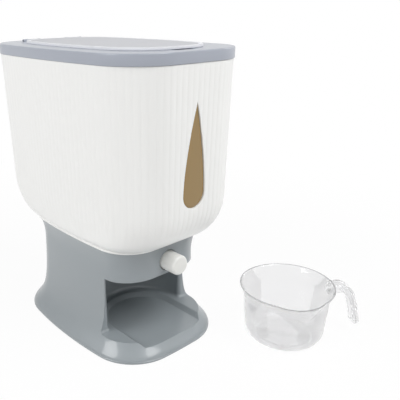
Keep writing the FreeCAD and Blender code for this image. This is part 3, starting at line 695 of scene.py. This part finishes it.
def makeCollar():
    # the band's section is carried round: outside, top, mouth, its skirt, and back under the plate
    c = collar
    share = evenShares(c["count"])
    underside = c["top"] - c["plate"]
    low = edgeRound(c["lowEdge"], -90, 0) + (c["lowEdge"], c["low"] + c["lowEdge"])
    high = edgeRound(c["edge"], 0, 90, c["edgeSteps"]) + (c["edge"], c["top"] - c["edge"])
    inset, z = np.concatenate([low, high]).T
    band = ringGrid(c["halfW"], c["halfD"], c["form"], share, inset, z)
    e, m = c["mouthEdge"], c["mouthIn"]
    lip = edgeRound(e, 90, 0) * (-1, 1) + (m - e, c["top"] - e)
    end = [(m, c["mouthLow"] + e), (m - e, c["mouthLow"]), (m - c["mouthWall"], c["mouthLow"]),
           (m - c["mouthWall"], underside)]
    inset, z = np.concatenate([lip, end]).T
    mouth = ringGrid(c["mouthHalfW"], c["mouthHalfD"], c["mouthForm"], share, inset, z)
    inset, z = [c["skirt"], c["skirt"]], [underside, c["low"] + c["insideUp"]]
    inside = ringGrid(c["halfW"], c["halfD"], c["form"], share, inset, z)
    piece = gridPiece("collar", np.concatenate([band, mouth, inside]), flip=True, loop=True)
    half = c["notchHalfW"]
    notch = block("notch", (-half, c["notchFrom"], c["notchLow"]),
                  (half, c["notchTo"], c["top"] + c["notchUp"]))
    soften(notch, c["notchRound"])
    combine(piece, notch)
    h = hinge
    reach = h["knuckle"] / 2 + h["gap"]
    bedReach = reach + h["ear"] + h["bedPast"]
    for x in (-h["x"], h["x"]):
        bed = block("bed", (x - bedReach, h["y"] - h["bedHalf"], underside - h["bedDeep"]),
                    (x + bedReach, h["y"] + h["bedHalf"], underside))
        combine(piece, bed, "UNION")
        pocket = block("pocket", (x - reach, h["y"] - h["r"] - h["gap"], h["z"] - h["r"] - h["pocketLow"]),
                       (x + reach, h["y"] + h["r"] + h["pocketBack"], c["top"] + h["pocketUp"]))
        combine(piece, pocket)
        for start in (x - reach - h["ear"], x + reach):
            combine(piece, arch(start, start + h["ear"], underside + h["earLow"]), "UNION")
    return piece


def arch(fromX, toX, low):
    # an ear across the hinge: straight sides with a round top on the pin's line
    h = hinge
    side = arc(h["y"], h["z"], h["r"], 0, 180, h["earSteps"])
    side = np.concatenate([[(h["y"] + h["r"], low)], side, [(h["y"] - h["r"], low)]])
    grid = np.stack([np.column_stack([np.full(len(side), x), side]) for x in (fromX, toX)])
    return gridPiece("ear", grid, caps="flat")


def hingeBar(name, radius, x, half, sides):
    # a round bar on the pin's line
    h = hinge
    return bar(name, radius, (x - half, h["y"], h["z"]), (x + half, h["y"], h["z"]), sides)


lid = {
    "halfW": 71.0, "halfD": 128.5, "form": (0.74, 40.0, 4.8), "low": 379.0, "top": 382.0, "count": 240,
    "edge": 1.1, "lowEdge": 0.4, "plug": 7.0, "plugWall": 2.2, "plugLow": 371.0, "plugEdge": 0.6,
    "panelIn": 5.0, "panelDrop": 0.35, "panelSlope": 1.2, "edgeSteps": 5,
}


def makeLid():
    # from the sunk top panel over the edge and the underside to the plug ring and its inside
    d = lid
    share = evenShares(d["count"])
    e, p, w = d["edge"], d["plug"], d["plugWall"]
    top = [(d["panelIn"] + d["panelSlope"], d["top"] - d["panelDrop"]), (d["panelIn"], d["top"])]
    over = edgeRound(e, 90, 0, d["edgeSteps"]) + (e, d["top"] - e)
    under = edgeRound(d["lowEdge"], 0, -90) + (d["lowEdge"], d["low"] + d["lowEdge"])
    q, low = d["plugEdge"], d["plugLow"]
    plug = [(p, d["low"]), (p, low + q), (p + q, low), (p + w - q, low), (p + w, low + q), (p + w, d["low"])]
    inset, z = np.concatenate([top, over, under, plug]).T
    grid = ringGrid(d["halfW"], d["halfD"], d["form"], share, inset, z)
    piece = gridPiece("flipLid", grid, caps="flat")
    h = hinge
    for x in (-h["x"], h["x"]):
        half = h["knuckle"] / 2
        knuckle = hingeBar("knuckle", h["r"], x, half, h["knuckleSides"])
        web = block("web", (x - half + h["webIn"], d["halfD"] - h["webReach"], h["z"]),
                    (x + half - h["webIn"], h["y"], d["top"] - h["webDrop"]))
        combine(knuckle, web, "UNION")
        combine(knuckle, hingeBar("bore", h["pinR"] + h["pinGap"], x, h["knuckle"], h["boreSides"]))
        combine(piece, knuckle, "UNION")
    return piece


base = {
    "form": (0.62, 12.0, 7.5), "footForm": (0.68, 7.0, 4.9), "footHalfW": 95.0, "footHalfD": 134.7,
    "footBack": -1.0, "waistHalfW": 69.0, "waistHalfD": 107.5, "low": 0.8, "skirtTop": 4.0, "top": 143.0,
    "flareHigh": 18.0, "flarePower": 1.6, "neckW": 6.5, "neckD": 4.0, "neckHigh": 31.0, "count": 240,
    "rows": 44, "rowPower": 1.7, "wall": 2.6, "deck": 140.0, "skirtEdge": 0.8, "skirtStep": 0.5,
    "crease": 0.5, "creaseFade": 3.0, "insideCount": 120, "insideSkip": 3, "insideDown": 1.0,
    "bayHalfW": 63.5, "bayY": -57.0, "bayFloor": 23.0, "bayTop": 100.0, "bayRound": 5.0, "roundSteps": 7,
    "bayCount": 65, "pillarY": -59.5, "pillarRound": 5.0, "pillarCount": 15,
    "archHalfW": 67.0, "archRise": 3.0, "archStep": 0.01, "archPower": 4,
    "archRows": (0.0, 0.2, 0.4, 0.6, 0.75, 0.87, 0.94, 0.98, 0.998),
    "liner": 2.6, "linerHalfW": 110.0, "linerCount": 49, "linerPast": 1,
    "seatHalfW": 48.5, "seatZ": 17.0, "seatSlope": 5.5,
    "seatFoot": ((-1.0, 0.0), (-0.3, 0.15), (0.3, 0.6)),
    "seatRim": ((-1.2, 4.9), (-0.4, 5.6), (0.6, 5.95), (1.6, 6.1), (3.0, 8.0)),
    "farX": 125.0, "farY": -165.0, "neckDown": 2.0, "screwDown": 1.0, "drillUp": 1.0,
    "chuteR": 22.6, "chuteY": -39.0, "chuteEndY": -52.0, "chuteBend": 112.0, "chuteEnd": 94.0,
    "chuteCut": 12.0,
}


def baseSize(z):
    # the flare dies away with height as 1 / (1 + (height / flareHigh) ^ flarePower), and the
    # column opens again at its top with the square of the way up its neck
    b = base
    share = 1 / (1 + (np.maximum(z - b["skirtTop"], 0) / b["flareHigh"]) ** b["flarePower"])
    neck = np.maximum(0, 1 - (b["top"] - z) / b["neckHigh"]) ** 2
    halfW = b["waistHalfW"] + (b["footHalfW"] - b["waistHalfW"]) * share + b["neckW"] * neck
    halfD = b["waistHalfD"] + (b["footHalfD"] - b["waistHalfD"]) * share + b["neckD"] * neck
    form = [body + (foot - body) * share for body, foot in zip(b["form"], b["footForm"])]
    return halfW, halfD, form, b["footBack"] * share


def columnHeights(low, high):
    # heights up the column, close together where it flares
    return low + (high - low) * np.linspace(0, 1, base["rows"]) ** base["rowPower"]


def baseOutside():
    # rounded foot edge, skirt and column; the crease over the skirt fades as e ^ -(way up / creaseFade)
    b = base
    e = b["skirtEdge"]
    share = evenShares(b["count"])
    start = edgeRound(e, -90, 0) + (e, b["low"] + e)
    flare = columnHeights(b["skirtTop"], b["top"])
    inset = b["crease"] * np.exp((b["skirtTop"] - flare) / b["creaseFade"])
    inset = np.concatenate([start[:, 0], [0.0], inset])
    z = np.concatenate([start[:, 1], [b["skirtTop"] - b["skirtStep"]], flare])
    halfW, halfD, form, centreY = baseSize(z)
    grid = ringGrid(halfW, halfD, form, share, inset, z, centreY)
    return gridPiece("base", grid, caps="flat", flip=True)


def baseInside():
    # the hollow: the same outlines, a wall's thickness further in
    b = base
    column = columnHeights(b["skirtTop"], b["deck"])[::b["insideSkip"]]
    z = np.concatenate([[b["low"] - b["insideDown"]], column])
    halfW, halfD, form, centreY = baseSize(z)
    share, inset = evenShares(b["insideCount"]), np.full(len(z), b["wall"])
    grid = ringGrid(halfW, halfD, form, share, inset, z, centreY)
    return gridPiece("inside", grid, caps="flat", flip=True)


def bayPlan(inset):
    # half circle at the back, straight sides, and rounded pillars that open out to the front
    b = base
    half, pillar = b["bayHalfW"] - inset, b["pillarRound"] + inset
    x = b["bayHalfW"] + b["pillarRound"]
    back = arc(0, b["bayY"], half, 0, 180, b["bayCount"])
    left = arc(-x, b["pillarY"], pillar, 0, -90, b["pillarCount"])
    right = arc(x, b["pillarY"], pillar, -90, -180, b["pillarCount"])
    y = b["pillarY"] - pillar
    far = [(-b["farX"], y), (-b["farX"], b["farY"]), (b["farX"], b["farY"]), (b["farX"], y)]
    return np.concatenate([back, left, far, right])


def seatPlan(half):
    # half circle at the back, open to the front
    b = base
    back = arc(0, b["bayY"], half, 0, 180, b["bayCount"])
    return np.concatenate([back, [(-half, b["farY"]), (half, b["farY"])]])


def bayRoom():
    # a round above the floor, radius less radius times sine and cosine, then upright to the roof.
    # over the opening the roof falls from its middle with the fourth power of the way to its sides
    b = base
    r = b["bayRound"]
    turn = np.radians(np.linspace(0, 90, b["roundSteps"]))
    inset = np.concatenate([r - r * np.sin(turn), [0.0]])
    z = np.concatenate([b["bayFloor"] + r - r * np.cos(turn), [b["bayTop"]]])
    plans = [bayPlan(i) for i in inset]
    upright = plans[-1]
    for rise in b["archRows"]:
        narrow = b["archHalfW"] / b["farX"] * (1 - rise) ** (1 / b["archPower"])
        plans.append(upright * (narrow, 1))
        z = np.append(z, b["bayTop"] + b["archStep"] + b["archRise"] * rise)
    return planStack("room", plans, z)


def seatRoom():
    # a sloped side with a soft edge above and a small round below, as pairs of way out and height
    b = base
    low, high = b["seatHalfW"], b["seatHalfW"] + b["seatSlope"]
    steps = [(low + out, up) for out, up in b["seatFoot"]] + [(high + out, up) for out, up in b["seatRim"]]
    return planStack("seat", [seatPlan(half) for half, up in steps], [b["seatZ"] + up for half, up in steps])


def makeBase():
    # outside, less the hollow behind the bay's liner, less the bay, its seat and the holes
    b = base
    piece = baseOutside()
    hollow = baseInside()
    low, high = b["seatZ"] - b["liner"], b["bayTop"] + b["liner"]
    half, past = b["linerHalfW"], b["linerPast"]
    combine(hollow, block("liner", (-half, b["farY"], low), (half, b["bayY"], high)))
    back = arc(0, b["bayY"], b["bayHalfW"] + b["liner"], -past, 180 + past, b["linerCount"])
    combine(hollow, planStack("liner", [back, back], [low, high]))
    combine(piece, hollow)
    combine(piece, bayRoom())
    combine(piece, seatRoom())
    lean = (b["chuteEndY"] - b["chuteY"]) / (b["chuteEnd"] - b["chuteBend"])
    start, end = b["chuteBend"], b["bayTop"] - b["chuteCut"]
    chute = bar("chute", b["chuteR"], (0, b["chuteY"], start), (0, b["chuteY"] + lean * (end - start), end))
    combine(piece, chute)
    drill(piece, b["deck"] - b["neckDown"], b["deck"] - b["screwDown"], b["top"] + b["drillUp"])
    profile = np.array(button["holeProfile"]) + (button["hole"], button["wallY"])
    combine(piece, turned("hole", profile, (0, 0, button["z"])))
    return piece


button = {
    "r": 12.7, "z": 120.5, "face": -132.4, "wallY": -109.13, "inside": 6.0, "edge": 3.2, "crown": 0.25,
    "crownFrom": 0.1, "crownSteps": 6, "edgeSteps": 8, "rim": 0.4, "innerRim": 0.3,
    "wall": 2.0, "floor": 1.2, "bossR": 5.0, "bossLength": 9.0, "rodR": 3.02,
    # the hole in the base: its radius, then pairs of way out from that and way in from the wall
    "hole": 13.5, "holeProfile": ((1.2, -3.0), (1.2, -0.2), (0.3, 0.3), (0.0, 1.0), (0.0, 3.4)),
}


def makeButton():
    # crowned face, whose depth grows with the square of the way out, then round edge, straight side
    # and back inside round the rod's boss
    b = button
    face, back = b["face"], b["wallY"] + b["inside"]
    flat = b["r"] - b["edge"]
    out = np.linspace(b["crownFrom"], 1, b["crownSteps"]) * flat
    crown = np.stack([out, face + b["crown"] * (out / flat) ** 2], -1)
    edge = edgeRound(b["edge"], 90, 0, b["edgeSteps"])[1:]
    edge = np.stack([flat - edge[:, 0], face + b["crown"] + b["edge"] - edge[:, 1]], -1)
    inner = b["r"] - b["wall"]
    floor, boss = face + b["floor"], face + b["bossLength"]
    rest = [(b["r"], back - b["rim"]), (b["r"] - b["rim"], back), (inner + b["innerRim"], back),
            (inner, back - b["innerRim"]), (inner, floor), (b["bossR"], floor), (b["bossR"], boss),
            (b["rodR"], boss), (b["rodR"], floor)]
    return turned("button", np.concatenate([crown, edge, rest]), (0, 0, b["z"]))


spring = {"r": 8.0, "wire": 0.55, "wireSides": 10, "turns": 7, "perTurn": 24, "from": -130.45, "to": -87.75,
          "travel": 15.0}


def makeSpring():
    # the wire's round section is carried along the coil: radius plus wire times cosine of the section,
    # turned round Y, and steady along Y plus wire times its sine
    s = spring
    way = np.linspace(0, 1, s["turns"] * s["perTurn"] + 1)[:, None]
    turn = way * s["turns"] * 2 * math.pi
    side = onceRound(s["wireSides"])
    out = s["r"] + s["wire"] * np.cos(side)
    y = s["from"] + (s["to"] - s["from"]) * way + s["wire"] * np.sin(side)
    grid = np.stack([out * np.cos(turn), y, button["z"] + out * np.sin(turn)], -1)
    return gridPiece("spring", grid, caps="flat")


cup = {
    "x": 131.0, "y": -200.0, "turn": -36.0, "height": 75.0, "wall": 2.2, "count": 192, "rows": 40,
    "rowPower": 1.2,
    "floorR": 38.0, "lowerR": 52.5, "lowerZ": 17.5, "bodyR": 55.6, "bandZ": 56.5, "rimR": 62.0,
    "flarePower": 1.5, "rimRound": 0.9, "footEdge": 0.4, "footIn": 2.4, "footStep": 0.5, "footDeep": 0.7,
    "floorUp": 0.6, "floorEdge": 2.5, "floorSide": 0.6, "rimDrop": 0.7, "rimOut": 0.8, "sliver": 0.05,
    "topGap": 0.001,
    "markR": 2.2, "markHigh": 0.6, "markSides": 24,
    "lipLowZ": 36.0, "lipTopR": 42.0, "lipLowR": 13.0, "lipOut": 5.6, "lipSink": 1.5, "lipFrom": -0.3,
    "blend": 1.3,
    "handleWide": 18.0, "handleRows": 60, "handleSides": 40, "handlePower": 6, "handleWall": 2.4,
    "endRound": 3.0, "endLast": 0.35, "endThin": 0.45, "endNarrow": 0.75,
    "channelFrom": 7, "channelEnd": 3, "channelOut": 1.0,
    # along the handle's middle: way out from the cup's axis, height and thickness
    "handleLine": ((56.5, 64.6, 13.5), (66.0, 67.6, 13.3), (77.0, 67.0, 11.4), (87.6, 56.0, 9.4),
                   (94.5, 34.0, 9.0), (98.6, 13.5, 8.9)),
}


def cupBody(z):
    # elliptic foot corner, side that leans out, and band that flares with a power of the way up it
    c = cup
    foot = c["floorR"] + (c["lowerR"] - c["floorR"]) * np.sqrt(1 - np.clip(1 - z / c["lowerZ"], 0, 1) ** 2)
    lean = (c["bodyR"] - c["lowerR"]) * np.clip((z - c["lowerZ"]) / (c["bandZ"] - c["lowerZ"]), 0, 1)
    up = np.clip((z - c["bandZ"]) / (c["height"] - c["bandZ"]), 0, 1)
    return foot + lean + (c["rimR"] - c["bodyR"]) * up ** c["flarePower"]


def cupRadius(z, turn):
    # the body, softly joined with a slanted cone that leans out of its side up to the pouring lip.
    # a circle of radius r whose middle is m off the axis reaches m cos t + sqrt(r^2 - (m sin t)^2),
    # and the larger of the two reaches is rounded over where they lie within the blend of each other
    c = cup
    body = cupBody(z)[:, None] + 0 * turn
    way = (z - c["lipLowZ"]) / (c["height"] - c["lipLowZ"])
    radius = c["lipLowR"] + (c["lipTopR"] - c["lipLowR"]) * np.clip(way, 0, 1)
    reach = cupBody(np.array([c["lipLowZ"]])) - c["lipSink"]
    reach = reach + (c["rimR"] + c["lipOut"] - reach) * way
    middle = (reach - radius)[:, None]
    inside = radius[:, None] ** 2 - (middle * np.sin(turn)) ** 2
    cone = middle * np.cos(turn) + np.sqrt(np.maximum(inside, 0))
    cone = np.where((inside > 0) & (np.cos(turn) > 0) & (way[:, None] > c["lipFrom"]), cone, 0)
    h = np.clip(0.5 + (cone - body) / (2 * c["blend"]), 0, 1)
    return body * (1 - h) + cone * h + c["blend"] * h * (1 - h)


def cupGrid(z, inset, heights):
    # rings of x = radius sin t, y = -radius cos t: t is 0 at the lip, before the cup is turned
    c = cup
    turn = onceRound(c["count"])
    radius = cupRadius(np.asarray(z, float), turn) - np.asarray(inset, float)[:, None]
    x, y = radius * np.sin(turn), -radius * np.cos(turn)
    return toTable(np.stack([x, y, np.asarray(heights, float)[:, None] + 0 * turn], -1))


def toTable(points):
    # the cup's own points, turned and set down beside the dispenser
    turn = math.radians(cup["turn"])
    cosine, sine = math.cos(turn), math.sin(turn)
    x, y, z = np.moveaxis(points, -1, 0)
    return np.stack([x * cosine - y * sine + cup["x"], x * sine + y * cosine + cup["y"], z], -1)


def cupHandle(channel=False):
    # a rounded strip is carried along a smooth line; its section is a superellipse, on which
    # |across|^power + |up|^power is 1. the channel is a smaller strip that opens the handle's inner
    # side and leaves a wall round it
    c = cup
    spots = np.array(c["handleLine"])
    way = np.linspace(0, len(spots) - 1, c["handleRows"])
    line = smoothLine(spots, way)
    ahead = np.gradient(line[:, :2], axis=0)
    ahead = ahead / np.linalg.norm(ahead, axis=1)[:, None]
    out = np.stack([-ahead[:, 1], ahead[:, 0]], -1)
    # the free end is rounded off as a quarter circle
    left = np.linalg.norm(line[-1, :2] - line[:, :2], axis=1)
    close = np.sqrt(1 - np.clip(1 - left / c["endRound"], 0, 1) ** 2)
    close[-1] = c["endLast"]
    turn = onceRound(c["handleSides"])
    bend = 2 / c["handlePower"]
    across = np.sign(np.cos(turn)) * np.abs(np.cos(turn)) ** bend
    up = np.sign(np.sin(turn)) * np.abs(np.sin(turn)) ** bend
    high = line[:, 2] / 2 * (c["endThin"] + (1 - c["endThin"]) * close)
    low = -high
    half = c["handleWide"] / 2 * (c["endNarrow"] + (1 - c["endNarrow"]) * close)
    if channel:
        high, low, half = high - c["handleWall"], low - c["channelOut"], half - c["handleWall"]
    thick = ((high + low) / 2)[:, None] + ((high - low) / 2)[:, None] * up
    x = line[:, 0, None] + out[:, 0, None] * thick
    z = line[:, 1, None] + out[:, 1, None] * thick
    grid = np.stack([x, across * half[:, None], z], -1)
    if channel:
        grid = grid[c["channelFrom"]:-c["channelEnd"]]
    return gridPiece("handle", toTable(grid), caps="flat")


def smoothLine(spots, way):
    # Catmull-Rom: a cubic between each two spots whose slope at a spot is half the step over it
    padded = np.concatenate([[2 * spots[0] - spots[1]], spots, [2 * spots[-1] - spots[-2]]])
    k = np.minimum(way.astype(int), len(spots) - 2)
    t = (way - k)[:, None]
    a, b, c, d = (padded[k + i] for i in range(4))
    square, cube = 2 * a - 5 * b + 4 * c - d, 3 * b - a - 3 * c + d
    return 0.5 * (2 * b + (c - a) * t + square * t ** 2 + cube * t ** 3)


def makeCup():
    # outside with its foot and rim, the handle, less the room inside, and a small mark in the floor
    c = cup
    r = c["rimRound"]
    side = np.linspace(0, 1, c["rows"]) ** c["rowPower"] * (c["height"] - c["topGap"])
    side[0] = c["sliver"]
    side = side[side < c["height"] - r]
    roundUp = edgeRound(r, 0, 90) + (r, c["height"] - r)
    z = np.concatenate([side, roundUp[:, 1]])
    inset = np.concatenate([0 * side, roundUp[:, 0]])
    inset[0] = c["footEdge"]
    heights = z.copy()
    heights[0] = 0.0
    outside = cupGrid(z, inset, heights)
    foot = cupGrid([0.0, 0.0], [c["footIn"], c["footIn"] + c["footStep"]], [0.0, c["footDeep"]])
    piece = gridPiece("cup", np.concatenate([foot[::-1], outside]), caps="flat")
    handle = cupHandle()
    combine(handle, cupHandle(channel=True))
    combine(piece, handle, "UNION")
    floor = c["wall"] + c["floorUp"]
    z = floor + (c["height"] - floor) * np.linspace(0, 1, c["rows"]) ** c["rowPower"]
    inset = np.full(len(z), c["wall"])
    inset[:2] += (c["floorEdge"], c["floorSide"])
    heights = z.copy()
    heights[-1] = c["height"] - c["rimDrop"]
    z, inset = np.append(z, c["height"]), np.append(inset, c["wall"] - c["rimOut"])
    room = cupGrid(z, inset, np.append(heights, c["height"] + c["sliver"]))
    combine(piece, gridPiece("room", room, caps="flat"))
    mark = toTable(np.array([(0, 0, c["wall"]), (0, 0, floor + c["markHigh"])]))
    combine(piece, bar("mark", c["markR"], mark[0], mark[1], c["markSides"]), "UNION")
    weld(piece)
    return piece


binPiece = makeBin()
combine(binPiece, windowHole(), sharpAngle=riceBin["sharp"])
place(binPiece, "dispenser", "bin_white", "bin_shell")
place(makeWindow(), "dispenser", "window_amber", "window_lens")
place(makeCollar(), "dispenser", "rim_grey", "top_rim")
place(makeLid(), "lid", "lid_grey", "lid")
place(makeBase(), "dispenser", "base_grey", "base_shell")
place(makeButton(), "button", "button_white", "button_cap")
springPiece = makeSpring()
place(springPiece, "button", "spring_steel", "return_spring")
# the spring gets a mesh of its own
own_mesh(springPiece)
place(makeCup(), "cup", "cup_clear", "measuring_cup")
